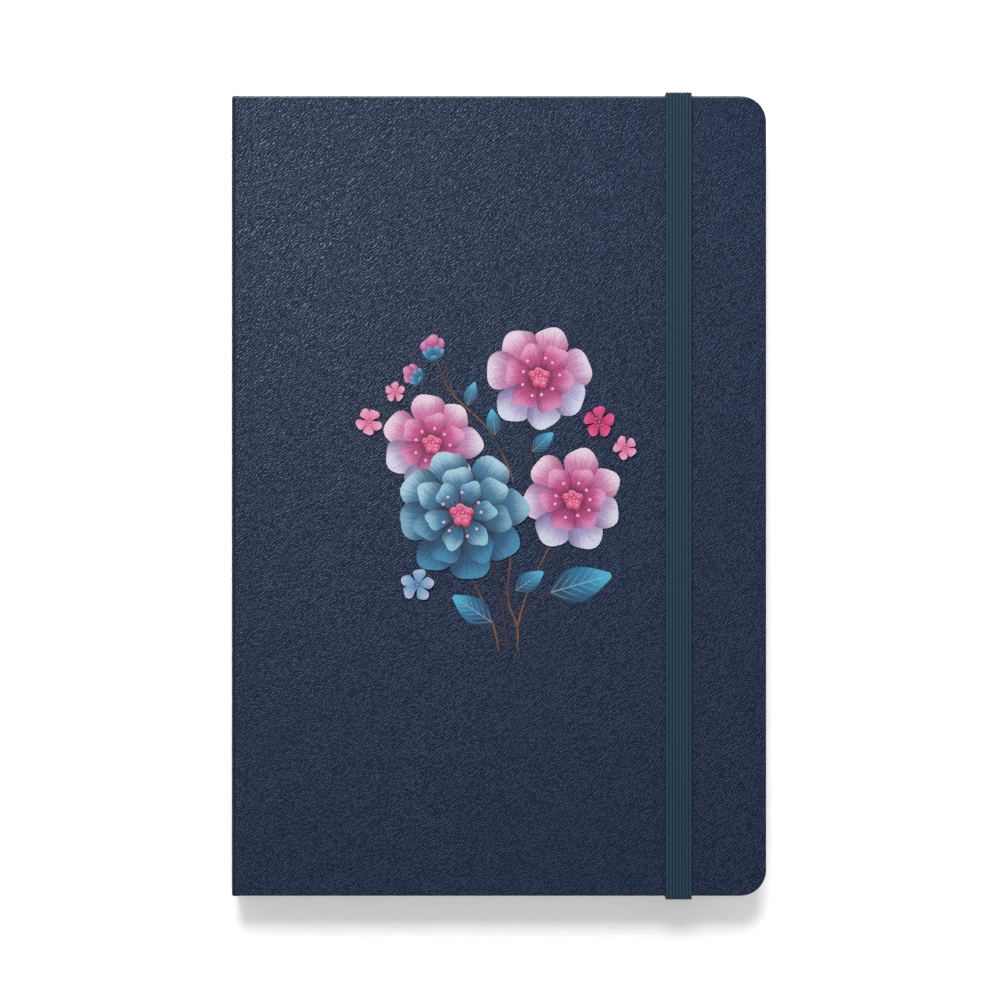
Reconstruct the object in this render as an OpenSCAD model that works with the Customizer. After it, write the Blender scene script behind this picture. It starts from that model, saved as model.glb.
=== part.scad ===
// Hardcover logbook with a sewn page block and an elastic closure band.
// It lies on its back cover. X runs from the spine to the fore edge, Y from tail to head, Z up.
// The origin is on the table, under the middle of the closed book.

/* [Case] */
// Width of the closed case from the spine to the fore edge
cover_width = 144.3; // [120:0.1:170]
// Height of the case from tail to head
cover_height = 215.9; // [180:0.1:260]
// Radius of the two fore-edge corners
corner_radius = 7; // [5.5:0.5:10]
// Thickness of the front and back boards
board_thickness = 2; // [1.8:0.1:3]
// Thickness of the leatherette covering
cloth_thickness = 0.35; // [0.25:0.05:0.45]
// Thickness of the thin card in the spine
spine_card = 1; // [0.8:0.1:1.1]
// Width of the covering folded in over each board edge
turn_in = 15; // [10:1:20]

/* [Book block] */
// Thickness of one folded section of leaves
section_pitch = 0.8; // [0.6:0.1:1.4]
// How far the boards stand past the pages at head, tail and fore edge
board_square = 3; // [2:0.5:5]
// Radius of the fore-edge corners of the pages
page_radius = 5; // [2:0.5:5]

/* [Closure band] */
// Width of the elastic band
band_width = 7; // [5:0.5:10]
// Distance of the band's middle line from the middle of the cover
band_x = 48.5; // [30:0.5:55]
// Distance of each slot in the back cover from the head or tail edge
slot_inset = 10.5; // [8:0.5:20]

/* [Hidden] */
$fn = 64;

navy = [0.13, 0.18, 0.28];
grey_card = [0.55, 0.52, 0.47];
cream = [0.93, 0.9, 0.82];
ivory = [0.88, 0.84, 0.74];
kraft = [0.62, 0.47, 0.32];
gauze = [0.82, 0.8, 0.74];
silk = [0.2, 0.3, 0.48];
linen = [0.9, 0.88, 0.82];
teal = [0.16, 0.27, 0.37];

half_width = cover_width / 2;
half_height = cover_height / 2;
glue_gap = 0.02;
paste_thickness = 0.15;
leaf_gap = 0.1;
leaf_thickness = 0.1;
section_count = 11;

// heights of the layers, counted up from the table
z_panel = cloth_thickness + board_thickness;
z_paste = z_panel + cloth_thickness;
z_fly = z_paste + paste_thickness + leaf_gap;
z_block = z_fly + paste_thickness;
case_height = 2 * z_block + section_count * section_pitch;
z_middle = case_height / 2;

// the spine, counted in from its outer face
x_spine = -half_width;
joint_radius = 1.5;
x_joint = x_spine + joint_radius;
x_card = x_spine + cloth_thickness;
x_card_in = x_card + spine_card;
x_spine_turn = x_card_in + cloth_thickness;
x_fold = x_spine + 1.9;
x_board = x_fold + 0.05;
x_page = half_width - board_square;
page_half = half_height - board_square;
fold_radius = section_pitch / 2 - 0.01;

// the band
band_thickness = 0.8;
band_bend = 0.2;
band_off = 0.15;
band_low = 0.05;
band_channel = 0.9;
y_bend = half_height + band_off - band_bend;
z_bend_low = band_low + band_thickness + band_bend;
z_bend_high = case_height + 0.1 - band_bend;
y_slot = half_height - slot_inset;
tab_length = 11;

// an outline with a straight spine side and two rounded fore-edge corners
module fore_outline(x_from, x_to, half_y, radius) {
    translate([x_from, -half_y]) square([x_to - x_from - radius, 2 * half_y]);
    translate([x_from, radius - half_y]) square([x_to - x_from, 2 * (half_y - radius)]);
    for (side = [-1, 1]) translate([x_to - radius, side * (half_y - radius)]) circle(radius);
}

module sheet(x_from, x_to, half_y, radius, z_from, thickness) {
    translate([0, 0, z_from])
        linear_extrude(thickness) fore_outline(x_from, x_to, half_y, radius);
}

// a box centred on the band's middle line
module band_box(width, y_from, y_to, z_from, z_to) {
    translate([band_x - width / 2, y_from, z_from]) cube([width, y_to - y_from, z_to - z_from]);
}

// the same box at the head and at the tail
module band_box_pair(width, y_from, y_to, z_from, z_to) {
    band_box(width, y_from, y_to, z_from, z_to);
    mirror([0, 1, 0]) band_box(width, y_from, y_to, z_from, z_to);
}

// a board with the raised infill that fills the window between the turn-ins
module board_solid(grow) {
    inset = cloth_thickness + glue_gap - grow;
    sheet(x_board - grow, half_width - inset, half_height - inset, corner_radius - inset,
        cloth_thickness + glue_gap - grow, board_thickness - 2 * glue_gap + 2 * grow);
    sheet(x_board + 6 - grow, half_width - turn_in - 0.1 + grow, half_height - turn_in - 0.1 + grow,
        2 + grow, z_panel - 0.2, cloth_thickness + 0.2 - glue_gap);
}

// where the band passes along, through and under the back board
module band_cuts(grow) {
    band_box_pair(band_width + 0.4 + 2 * grow, y_slot - band_thickness - 0.1, half_height + 1,
        -1, band_channel + grow);
    band_box_pair(band_width + 0.4, y_slot - band_thickness - 0.1, y_slot + 0.1, -1, z_paste + 1);
    band_box_pair(band_width + 0.4, y_slot - band_thickness - tab_length - 0.1, y_slot + 0.1,
        z_paste - band_thickness - 0.1, z_paste + 1);
}

// the covering of one board, folded round three edges and turned in
module cloth_solid() {
    difference() {
        sheet(x_joint, half_width, half_height, corner_radius, 0, z_paste);
        board_solid(glue_gap);
        sheet(x_joint - 1, half_width - turn_in, half_height - turn_in, 2, z_panel - 0.01, 1);
        translate([x_joint - 1, -half_height + turn_in, cloth_thickness])
            cube([7, cover_height - 2 * turn_in, z_paste]);
        translate([x_joint - 1, -half_height - 1, cloth_thickness])
            cube([x_board - x_joint + 1, cover_height + 2, z_paste]);
    }
}

module to_front() {
    translate([0, 0, case_height]) mirror([0, 0, 1]) children();
}

module front_board() {
    color(grey_card) to_front() board_solid(0);
}

module back_board() {
    color(grey_card) difference() {
        board_solid(0);
        band_cuts(cloth_thickness + glue_gap);
    }
}

module front_cloth() {
    color(navy) to_front() cloth_solid();
}

// the channel floors under the band are lined with the same covering
module channel_lining() {
    difference() {
        band_box_pair(band_width + 0.4 + 2 * cloth_thickness, y_slot - 0.5, half_height - 0.1,
            0.2, band_channel + cloth_thickness);
        band_cuts(0);
    }
}

module back_cloth() {
    color(navy) difference() {
        union() {
            cloth_solid();
            channel_lining();
        }
        band_cuts(0);
    }
}

module spine_board() {
    color(grey_card) translate([x_card + glue_gap, -half_height + cloth_thickness + glue_gap, 1.8])
        cube([spine_card - 2 * glue_gap, cover_height - 2 * (cloth_thickness + glue_gap),
            case_height - 3.6]);
}

// the spine covering, folded over the ends of the card at head and tail
module spine_cloth() {
    color(navy) difference() {
        union() {
            translate([x_spine, -half_height, joint_radius])
                cube([cloth_thickness, cover_height, case_height - 2 * joint_radius]);
            translate([x_spine, -half_height, 1.8])
                cube([x_spine_turn - x_spine, cover_height, case_height - 3.6]);
        }
        translate([x_card, -half_height + cloth_thickness, 0])
            cube([spine_card, cover_height - 2 * cloth_thickness, case_height]);
        translate([x_card, -half_height + 12, 0]) cube([5, cover_height - 24, case_height]);
    }
}

// the covering where it rounds a spine corner, which is the hinge of a board
module corner_cloth() {
    translate([x_joint, 0, joint_radius]) rotate([90, 0, 0]) difference() {
        cylinder(r = joint_radius, h = cover_height, center = true);
        cylinder(r = joint_radius - cloth_thickness, h = cover_height + 2, center = true);
        translate([0, -5, -cover_height]) cube([10, 10, 2 * cover_height]);
        translate([-5, 0, -cover_height]) cube([10, 10, 2 * cover_height]);
    }
}

module front_joint_cloth() {
    color(navy) to_front() corner_cloth();
}

module back_joint_cloth() {
    color(navy) corner_cloth();
}

module pastedown_solid() {
    sheet(x_board, x_page, page_half, page_radius, z_paste, paste_thickness);
}

module flyleaf_solid() {
    sheet(x_board, x_page, page_half, page_radius, z_fly, paste_thickness - 0.01);
}

module front_pastedown() {
    color(ivory) to_front() pastedown_solid();
}

module back_pastedown() {
    color(ivory) pastedown_solid();
}

module front_flyleaf() {
    color(ivory) to_front() flyleaf_solid();
}

module back_flyleaf() {
    color(ivory) flyleaf_solid();
}

// one sewn section: a pack of folded sheets with its round fold at the spine
module section_solid(number) {
    z_from = z_block + (section_count - number) * section_pitch + 0.01;
    x_round = x_fold + fold_radius;
    sheet(x_round, x_page, page_half, page_radius, z_from, section_pitch - 0.02);
    translate([x_round, 0, z_from + fold_radius]) rotate([90, 0, 0])
        cylinder(r = fold_radius, h = 2 * page_half, center = true);
}

// the middle section opens at its centre fold, so it is made as two halves
module half_section(side) {
    keep_from = side > 0 ? z_middle + 0.06 : z_middle - 2;
    intersection() {
        section_solid(6);
        translate([x_fold - 1, -cover_height, keep_from])
            cube([cover_width, 2 * cover_height, 1.94]);
    }
}

module section_01() {
    color(cream) section_solid(1);
}

module section_02() {
    color(cream) section_solid(2);
}

module section_03() {
    color(cream) section_solid(3);
}

module section_04() {
    color(cream) section_solid(4);
}

module section_05() {
    color(cream) section_solid(5);
}

module section_06_front() {
    color(cream) half_section(1);
}

module section_06_back() {
    color(cream) half_section(-1);
}

module section_07() {
    color(cream) section_solid(7);
}

module section_08() {
    color(cream) section_solid(8);
}

module section_09() {
    color(cream) section_solid(9);
}

module section_10() {
    color(cream) section_solid(10);
}

module section_11() {
    color(cream) section_solid(11);
}

// the centre leaf of the middle section, free to turn
module turning_leaf() {
    color(cream) sheet(x_fold + 0.45, x_page, page_half, page_radius,
        z_middle - leaf_thickness / 2, leaf_thickness);
}

module kraft_liner() {
    color(kraft) translate([x_card_in + 0.02, -half_height + 12.4, z_block + 0.1])
        cube([0.2, cover_height - 24.8, case_height - 2 * z_block - 0.2]);
}

module mull() {
    color(gauze) translate([x_card_in + 0.24, -half_height + 12.4, z_block + 0.1])
        cube([0.12, cover_height - 24.8, case_height - 2 * z_block - 0.2]);
}

// kettle stitches and sewing loops that hold the sections to the mull
module sewing_threads() {
    color(linen) for (station = [-85, -51, -17, 17, 51, 85])
        translate([x_card_in + 0.42, station - 0.3, z_block + 0.2])
            cube([0.1, 0.6, case_height - 2 * z_block - 0.4]);
}

// a woven roll at the end of the page folds, with a tail glued down the spine
module band_roll() {
    translate([x_fold + 0.95, page_half + 0.95, z_block + 0.3])
        cylinder(r = 0.85, h = case_height - 2 * z_block - 0.6);
    translate([x_spine_turn + 0.04, page_half + 0.1, z_block + 0.3])
        cube([1, 0.6, case_height - 2 * z_block - 0.6]);
}

module headband() {
    color(silk) band_roll();
}

module tailband() {
    color(silk) mirror([0, 1, 0]) band_roll();
}

module elastic_front_run() {
    color(teal) band_box(band_width, -y_bend, y_bend, case_height + 0.1,
        case_height + 0.1 + band_thickness);
}

// a quarter turn of the band round a cover edge
module band_corner(z_centre, up) {
    translate([band_x, y_bend, z_centre]) rotate([0, 90, 0]) difference() {
        cylinder(r = band_bend + band_thickness, h = band_width, center = true);
        cylinder(r = band_bend, h = band_width + 2, center = true);
        translate([-5, -10, -10]) cube([10, 10, 20]);
        translate([up > 0 ? 0 : -10, -5, -10]) cube([10, 10, 20]);
    }
}

module wrap_solid() {
    band_corner(z_bend_low, -1);
    band_box(band_width, y_bend + band_bend, y_bend + band_bend + band_thickness,
        z_bend_low, z_bend_high);
    band_corner(z_bend_high, 1);
}

module elastic_head_wrap() {
    color(teal) wrap_solid();
}

module elastic_tail_wrap() {
    color(teal) mirror([0, 1, 0]) wrap_solid();
}

// the band's end: along the channel, up through the slot, and a tab glued under the pastedown
module anchor_solid() {
    band_box(band_width, y_slot - band_thickness, y_bend - 0.02, band_low,
        band_low + band_thickness);
    band_box(band_width, y_slot - band_thickness, y_slot, band_low, z_paste - 0.05);
    band_box(band_width, y_slot - band_thickness - tab_length, y_slot,
        z_paste - 0.05 - band_thickness, z_paste - 0.05);
}

module elastic_head_anchor() {
    color(teal) anchor_solid();
}

module elastic_tail_anchor() {
    color(teal) mirror([0, 1, 0]) anchor_solid();
}

front_board();
back_board();
spine_board();
front_cloth();
back_cloth();
spine_cloth();
front_joint_cloth();
back_joint_cloth();
front_pastedown();
back_pastedown();
front_flyleaf();
back_flyleaf();
section_01();
section_02();
section_03();
section_04();
section_05();
section_06_front();
turning_leaf();
section_06_back();
section_07();
section_08();
section_09();
section_10();
section_11();
mull();
kraft_liner();
headband();
tailband();
sewing_threads();
elastic_front_run();
elastic_head_wrap();
elastic_tail_wrap();
elastic_head_anchor();
elastic_tail_anchor();
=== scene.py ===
import itertools
import math
import random

import bmesh
import bpy
from mathutils import Matrix, Vector


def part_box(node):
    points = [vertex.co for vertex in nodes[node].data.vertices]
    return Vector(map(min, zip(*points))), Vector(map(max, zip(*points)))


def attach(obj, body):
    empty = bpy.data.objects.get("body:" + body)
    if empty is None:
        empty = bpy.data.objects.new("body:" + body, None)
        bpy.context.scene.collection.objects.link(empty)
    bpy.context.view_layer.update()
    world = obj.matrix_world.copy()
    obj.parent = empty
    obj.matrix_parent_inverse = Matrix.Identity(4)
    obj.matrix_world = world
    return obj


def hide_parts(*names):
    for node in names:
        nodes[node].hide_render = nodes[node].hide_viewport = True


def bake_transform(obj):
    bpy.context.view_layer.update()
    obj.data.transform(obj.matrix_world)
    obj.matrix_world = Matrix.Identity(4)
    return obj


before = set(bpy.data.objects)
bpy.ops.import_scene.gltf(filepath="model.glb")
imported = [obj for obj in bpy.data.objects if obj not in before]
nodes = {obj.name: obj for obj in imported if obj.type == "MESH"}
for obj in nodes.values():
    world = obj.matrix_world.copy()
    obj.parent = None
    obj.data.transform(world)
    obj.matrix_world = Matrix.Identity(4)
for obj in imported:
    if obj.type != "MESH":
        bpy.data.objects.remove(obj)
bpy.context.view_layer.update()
mm = 0.001
tolerance = 0.01 * mm    # for picking parts of a mesh by where they lie
random.seed(7)
bpy.context.scene.view_settings.view_transform = "Standard"
print("frame loaded,", len(nodes), "nodes")


# helpers for modelling

def deselectAll():
    bpy.ops.object.select_all(action="DESELECT")


def makeActive(piece):
    deselectAll()
    piece.select_set(True)
    bpy.context.view_layer.objects.active = piece


def startEdit(piece):
    makeActive(piece)
    bpy.ops.object.mode_set(mode="EDIT")


def endEdit():
    bpy.ops.object.mode_set(mode="OBJECT")


def selectAll():
    bpy.ops.mesh.select_all(action="SELECT")


def pick(piece, kind, test):
    # in edit mode, selects the vertices, edges or faces that pass the test
    bpy.ops.mesh.select_mode(type=kind)
    bpy.ops.mesh.select_all(action="DESELECT")
    shape = bmesh.from_edit_mesh(piece.data)
    items = {"VERT": shape.verts, "EDGE": shape.edges, "FACE": shape.faces}[kind]
    for item in items:
        if test(item):
            item.select_set(True)
    shape.select_flush_mode()
    bmesh.update_edit_mesh(piece.data)


def edgeMiddle(edge):
    return (edge.verts[0].co + edge.verts[1].co) / 2


def edgeRuns(edge):
    # which axis the edge runs along: 0, 1 or 2, or None for a slanted one
    run = edge.verts[1].co - edge.verts[0].co
    sizes = [abs(c) for c in run]
    longest = sizes.index(max(sizes))
    return longest if sizes[longest] > 0.999 * run.length else None


def finishPlace():
    bpy.ops.object.transform_apply(location=True, rotation=True, scale=True)


def addBox(name, low, high):
    middle = [(h + l) / 2 for l, h in zip(low, high)]
    bpy.ops.mesh.primitive_cube_add(size=1, location=middle)
    piece = bpy.context.object
    piece.name = name
    piece.scale = [h - l for l, h in zip(low, high)]
    finishPlace()
    return piece


def evenly(start, length, steps):
    return [start + length * i / steps for i in range(steps + 1)]


def cutAcross(axis, places):
    # bisects everything at each place along the axis, in edit mode
    normal = [1 if i == axis else 0 for i in range(3)]
    for place in places:
        selectAll()
        bpy.ops.mesh.bisect(plane_co=[place * n for n in normal], plane_no=normal)


def extrude(x, y, z):
    bpy.ops.mesh.extrude_region_move(TRANSFORM_OT_translate={"value": (x, y, z)})


def roundEdges(radius, steps):
    bpy.ops.mesh.bevel(offset=radius, segments=steps, affect="EDGES")


def fixNormals():
    selectAll()
    bpy.ops.mesh.normals_make_consistent(inside=False)


def change(piece, kind, **settings):
    # puts one modifier on the piece and applies it
    makeActive(piece)
    modifier = piece.modifiers.new("change", kind)
    for name, value in settings.items():
        setattr(modifier, name, value)
    bpy.ops.object.modifier_apply(modifier=modifier.name)


def smooth(piece, degrees):
    makeActive(piece)
    bpy.ops.object.shade_smooth_by_angle(angle=math.radians(degrees))


def copyOf(piece, name):
    # a copy with its own mesh
    other = piece.copy()
    other.data = piece.data.copy()
    other.name = name
    bpy.context.collection.objects.link(other)
    return other


def flipOver(piece, matrix):
    # mirrors a finished copy and turns its faces the right way out again
    piece.data.transform(matrix)
    startEdit(piece)
    fixNormals()
    endEdit()


def storePlace(piece):
    # the resting place of every vertex, so a pattern stays put when the piece bends
    store = piece.data.attributes.new("restPlace", "FLOAT_VECTOR", "POINT")
    for vertex in piece.data.vertices:
        store.data[vertex.index].vector = vertex.co


def dress(piece, *materials):
    piece.data.materials.clear()
    for material in materials:
        piece.data.materials.append(material)


def rgb(red, green, blue):
    parts = [c / 255 for c in (red, green, blue)]
    return [c / 12.92 if c < 0.04045 else ((c + 0.055) / 1.055) ** 2.4 for c in parts] + [1]


# helpers for materials

def addNode(tree, kind, inputs=None, **settings):
    node = tree.nodes.new("ShaderNode" + kind)
    for name, value in settings.items():
        setattr(node, name, value)
    for name, value in (inputs or {}).items():
        if isinstance(value, bpy.types.NodeSocket):
            tree.links.new(value, node.inputs[name])
        else:
            node.inputs[name].default_value = value
    return node


def calc(tree, operation, first, second=0.5, third=0.5):
    return addNode(tree, "Math", {0: first, 1: second, 2: third}, operation=operation).outputs[0]


def times(tree, first, second):
    return calc(tree, "MULTIPLY", first, second)


def mixColour(tree, factor, first, second, blend="MIX"):
    node = addNode(tree, "Mix", {0: factor, 6: first, 7: second}, data_type="RGBA", blend_type=blend)
    return node.outputs[2]


def spread(tree, value, low, high, toLow=0.0, toHigh=1.0):
    node = addNode(tree, "MapRange", {0: value, 1: low, 2: high, 3: toLow, 4: toHigh},
                   interpolation_type="SMOOTHSTEP")
    return node.outputs[0]


def noise(tree, place, scale, detail=2.0, roughness=0.5):
    node = addNode(tree, "TexNoise", {"Vector": place, "Scale": scale, "Detail": detail,
                                      "Roughness": roughness})
    return node.outputs[0]


def ramp(tree, value, stops):
    node = addNode(tree, "ValToRGB", {0: value})
    while len(node.color_ramp.elements) < len(stops):
        node.color_ramp.elements.new(0.5)
    for element, (place, colour) in zip(node.color_ramp.elements, stops):
        element.position = place
        element.color = colour
    return node.outputs[0]


def split(tree, place):
    node = addNode(tree, "SeparateXYZ", {0: place})
    return node.outputs[0], node.outputs[1], node.outputs[2]


def newMaterial(name, stored=False):
    # an empty material, with the place its patterns follow
    material = bpy.data.materials.new(name)
    material.use_nodes = True
    tree = material.node_tree
    tree.nodes.clear()
    if stored:
        return material, tree, addNode(tree, "Attribute", attribute_name="restPlace").outputs["Vector"]
    return material, tree, addNode(tree, "TexCoord").outputs["Object"]


def finishMaterial(tree, colour, roughness, height, depth, specular=0.5, **extra):
    bump = addNode(tree, "Bump", {"Strength": 1.0, "Distance": depth, "Height": height})
    inputs = {"Base Color": colour, "Roughness": roughness, "Normal": bump.outputs[0],
              "Specular IOR Level": specular}
    inputs.update(extra)
    shader = addNode(tree, "BsdfPrincipled", inputs)
    output = addNode(tree, "OutputMaterial")
    tree.links.new(shader.outputs[0], output.inputs[0])


# places taken from the frame

coverLow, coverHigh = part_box("front_cloth")
backLow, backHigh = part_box("back_cloth")
spineLow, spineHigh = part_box("spine_cloth")
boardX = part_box("front_board")[0].x
runLow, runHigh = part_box("elastic_front_run")
wrapLow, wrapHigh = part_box("elastic_head_wrap")
anchorLow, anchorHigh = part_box("elastic_head_anchor")
topZ = coverHigh.z
halfHeight = coverHigh.y
foreX = coverHigh.x
spineX = spineLow.x
bandX = (runLow.x + runHigh.x) / 2
bandWidth = runHigh.x - runLow.x


# leatherette

leather = {
    "lean": 40,             # degrees, the way the ridges lean
    "pitch": 0.64 * mm,     # from ridge to ridge
    "depth": 0.08 * mm,
    # the grain's colour from grooves to crests: partly its own tone, partly painted shade in the grooves and
    # painted highlight on the crests
    "groove": rgb(1, 7, 28),
    "middle": rgb(9, 20, 47),
    "crest": rgb(44, 57, 86),
    "patch": rgb(10, 21, 47),
    "specular": 0.25,
    "specularTint": (0.66, 0.82, 1.0, 1),
    "roughLow": 0.85,       # roughness in the grooves and on the crests
    "roughHigh": 0.4,
    "rise": 0.6,            # how the ridges carry on over the edges
    "wander": ((130.0, 16.0), (520.0, 5.5), (1250.0, 7.5)),    # noise scale and how far the ridges stray
    "breakScale": 1900.0,   # where ridges fade out
    "fineScale": 3800.0,
    "fineShare": 0.22,
    "patchScale": 28.0,
    "foldShadeWidth": 1.4 * mm,  # the strip of painted shade along the rounded spine corners
    "paintedFoldShade": rgb(2, 6, 18),
    "rimHighlightWidth": 0.8 * mm,   # painted highlight on the rounding of the head edge, where the light from the head side catches it
    "paintedRimHighlight": rgb(128, 136, 156),
}


def makeGrain():
    # short wandering ridges, as embossed cloth has
    group = bpy.data.node_groups.new("ridgedGrain", "ShaderNodeTree")
    group.interface.new_socket("Place", in_out="INPUT", socket_type="NodeSocketVector")
    group.interface.new_socket("Height", in_out="OUTPUT", socket_type="NodeSocketFloat")
    source = group.nodes.new("NodeGroupInput").outputs[0]
    lean = math.radians(leather["lean"])
    across = addNode(group, "VectorMath", {0: source, 1: (-math.sin(lean), math.cos(lean), leather["rise"])},
                     operation="DOT_PRODUCT").outputs["Value"]
    phase = times(group, across, 2 * math.pi / leather["pitch"])
    for scale, amount in leather["wander"]:
        wander = calc(group, "SUBTRACT", noise(group, source, scale, 0.0), 0.5)
        phase = calc(group, "MULTIPLY_ADD", wander, amount, phase)
    ridge = calc(group, "MULTIPLY_ADD", calc(group, "SINE", phase), 0.5, 0.5)
    breaks = spread(group, noise(group, source, leather["breakScale"], 0.0), 0.3, 0.6, 0.45, 1.0)
    ridge = times(group, ridge, breaks)
    fine = noise(group, source, leather["fineScale"], 1.0)
    ridge = times(group, ridge, 1 - leather["fineShare"])
    height = calc(group, "MULTIPLY_ADD", fine, leather["fineShare"], ridge)
    end = group.nodes.new("NodeGroupOutput")
    group.links.new(height, end.inputs[0])
    return group


grain = makeGrain()


def grainHeight(tree, place):
    return addNode(tree, "Group", {0: place}, node_tree=grain).outputs[0]


def makeLeather(name, stored):
    material, tree, place = newMaterial(name, stored)
    height = grainHeight(tree, place)
    # darker grooves and lighter crests: partly the grain's own tone, partly painted shade and painted
    # highlight
    colour = ramp(tree, height, [(0.15, leather["groove"]), (0.42, leather["middle"]),
                                 (0.85, leather["crest"])])
    patch = spread(tree, noise(tree, place, leather["patchScale"], 3.0), 0.3, 0.7, 0.0, 0.25)
    colour = mixColour(tree, patch, colour, leather["patch"])
    east, north, up = split(tree, place)
    width = leather["foldShadeWidth"]
    # painted shade: the rounded spine corners are darkened, as they turn away from the light
    fold = spread(tree, east, spineX + 0.7 * width, spineX + width, 0.75, 0.0)
    fromMiddle = calc(tree, "ABSOLUTE", calc(tree, "SUBTRACT", up, topZ / 2))
    nearCorner = spread(tree, fromMiddle, topZ / 2 - width, topZ / 2 - 0.5 * width)
    fold = times(tree, fold, nearCorner)
    colour = mixColour(tree, fold, colour, leather["paintedFoldShade"])
    width = leather["rimHighlightWidth"]
    # painted highlight on the head edge's rounding only, not the tail's, as the light comes from the head
    # side
    rim = spread(tree, north, halfHeight - width, halfHeight - 0.4 * width, 0.0, 0.35)
    rim = times(tree, rim, spread(tree, up, topZ - width, topZ - 0.5 * width))
    colour = mixColour(tree, rim, colour, leather["paintedRimHighlight"])
    rough = spread(tree, height, 0.2, 0.75, leather["roughLow"], leather["roughHigh"])
    rough = calc(tree, "MAXIMUM", rough, fold)
    finishMaterial(tree, colour, rough, height, leather["depth"], leather["specular"],
                   **{"Specular Tint": leather["specularTint"]})
    return material


leatherSkin = makeLeather("navyLeatherette", False)
leatherBend = makeLeather("navyLeatheretteBending", True)


# paper, board and threads

paper = {
    "fibreScale": 1400.0,
    "cloudScale": 60.0,
    "depth": 0.02 * mm,
    "roughness": 0.85,
    "specular": 0.25,
    "page": (rgb(226, 220, 204), rgb(217, 210, 192)),
    "ruled": (rgb(226, 220, 204), rgb(219, 212, 194)),
    "end": (rgb(216, 207, 184), rgb(206, 196, 172)),
}


def makePaper(name, stored, light, dark, depth=paper["depth"]):
    material, tree, place = newMaterial(name, stored)
    fibres = noise(tree, place, paper["fibreScale"], 4.0, 0.6)
    cloud = noise(tree, place, paper["cloudScale"], 2.0)
    colour = mixColour(tree, spread(tree, cloud, 0.3, 0.7, 0.0, 0.25), light, dark)
    colour = mixColour(tree, spread(tree, fibres, 0.55, 0.75, 0.0, 0.35), colour, dark)
    finishMaterial(tree, colour, paper["roughness"], fibres, depth, paper["specular"])
    return material


leafLines = {
    "clump": 0.34 * mm,           # leaves lie together in small clumps
    "clumpWander": 0.3 * mm,
    "clumpShare": 0.07,
    "stretch": (0.03, 0.03, 1.0),    # draws the noise out along the leaves
    "streakScale": 4200.0,
    "wanderScale": 900.0,
    "light": rgb(222, 216, 198),
    "dark": rgb(128, 120, 98),
}


def makePageEdge(name, stored):
    # the cut edges of the leaves: long fine streaks, with clumps and uneven gaps
    material, tree, place = newMaterial(name, stored)
    drawn = addNode(tree, "VectorMath", {0: place, 1: leafLines["stretch"]}, operation="MULTIPLY").outputs[0]
    streaks = noise(tree, drawn, leafLines["streakScale"], 3.0, 0.7)
    up = split(tree, place)[2]
    level = noise(tree, drawn, leafLines["wanderScale"], 1.0)
    level = calc(tree, "MULTIPLY_ADD", level, leafLines["clumpWander"], up)
    clumps = calc(tree, "SINE", times(tree, level, 2 * math.pi / leafLines["clump"]))
    shade = spread(tree, calc(tree, "MULTIPLY_ADD", clumps, leafLines["clumpShare"], streaks), 0.28, 0.6)
    colour = mixColour(tree, shade, leafLines["dark"], leafLines["light"])
    finishMaterial(tree, colour, 0.9, shade, 0.03 * mm, 0.2)
    return material


ruling = {
    "half": 0.13 * mm,      # half the width of a printed line
    "rowGap": 9.5 * mm,
    "top": 86 * mm,
    "bottom": -94.5 * mm,
    "headRows": 2,
    "columns": [-58, -41, -24, -12, 0, 12, 24, 35, 46, 62],
    "ink": rgb(120, 142, 165),
    "inkShare": 0.8,
    "headTint": rgb(196, 212, 224),
    "headShare": 0.4,
}


def makeRuledPage(name, stored):
    # a plain ruled table with a tinted head, no lettering
    material, tree, place = newMaterial(name, stored)
    east, north = split(tree, place)[:2]
    fibres = noise(tree, place, paper["fibreScale"], 4.0, 0.6)
    cloud = noise(tree, place, paper["cloudScale"], 2.0)
    colour = mixColour(tree, spread(tree, cloud, 0.3, 0.7, 0.0, 0.3), *paper["ruled"])
    down = calc(tree, "SUBTRACT", ruling["top"], north)
    row = calc(tree, "FLOORED_MODULO", down, ruling["rowGap"])
    row = calc(tree, "MINIMUM", row, calc(tree, "SUBTRACT", ruling["rowGap"], row))
    marks = calc(tree, "LESS_THAN", row, ruling["half"])
    for column in ruling["columns"]:
        marks = calc(tree, "MAXIMUM", marks, calc(tree, "COMPARE", east, column * mm, ruling["half"]))

    def between(value, low, high):
        return times(tree, calc(tree, "GREATER_THAN", value, low - ruling["half"]),
                    calc(tree, "LESS_THAN", value, high + ruling["half"]))

    across = between(east, ruling["columns"][0] * mm, ruling["columns"][-1] * mm)
    table = times(tree, across, between(north, ruling["bottom"], ruling["top"]))
    headLow = ruling["top"] - ruling["headRows"] * ruling["rowGap"]
    head = times(tree, across, between(north, headLow, ruling["top"]))
    head = times(tree, head, ruling["headShare"])
    colour = mixColour(tree, head, colour, ruling["headTint"])
    marks = times(tree, times(tree, marks, table), ruling["inkShare"])
    colour = mixColour(tree, marks, colour, ruling["ink"])
    finishMaterial(tree, colour, paper["roughness"], fibres, paper["depth"], paper["specular"])
    return material


pageFace = makePaper("pagePaper", True, *paper["page"])
pageRuled = makeRuledPage("pageRuled", True)
pageEdge = makePageEdge("pageEdges", True)
endPaper = makePaper("endPaper", False, *paper["end"])
endPaperBend = makePaper("endPaperBending", True, *paper["end"])
greyBoard = makePaper("greyBoard", False, rgb(150, 145, 134), rgb(112, 107, 98), 0.06 * mm)
kraftPaper = makePaper("kraftPaper", False, rgb(178, 146, 104), rgb(150, 118, 80), 0.04 * mm)


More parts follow.
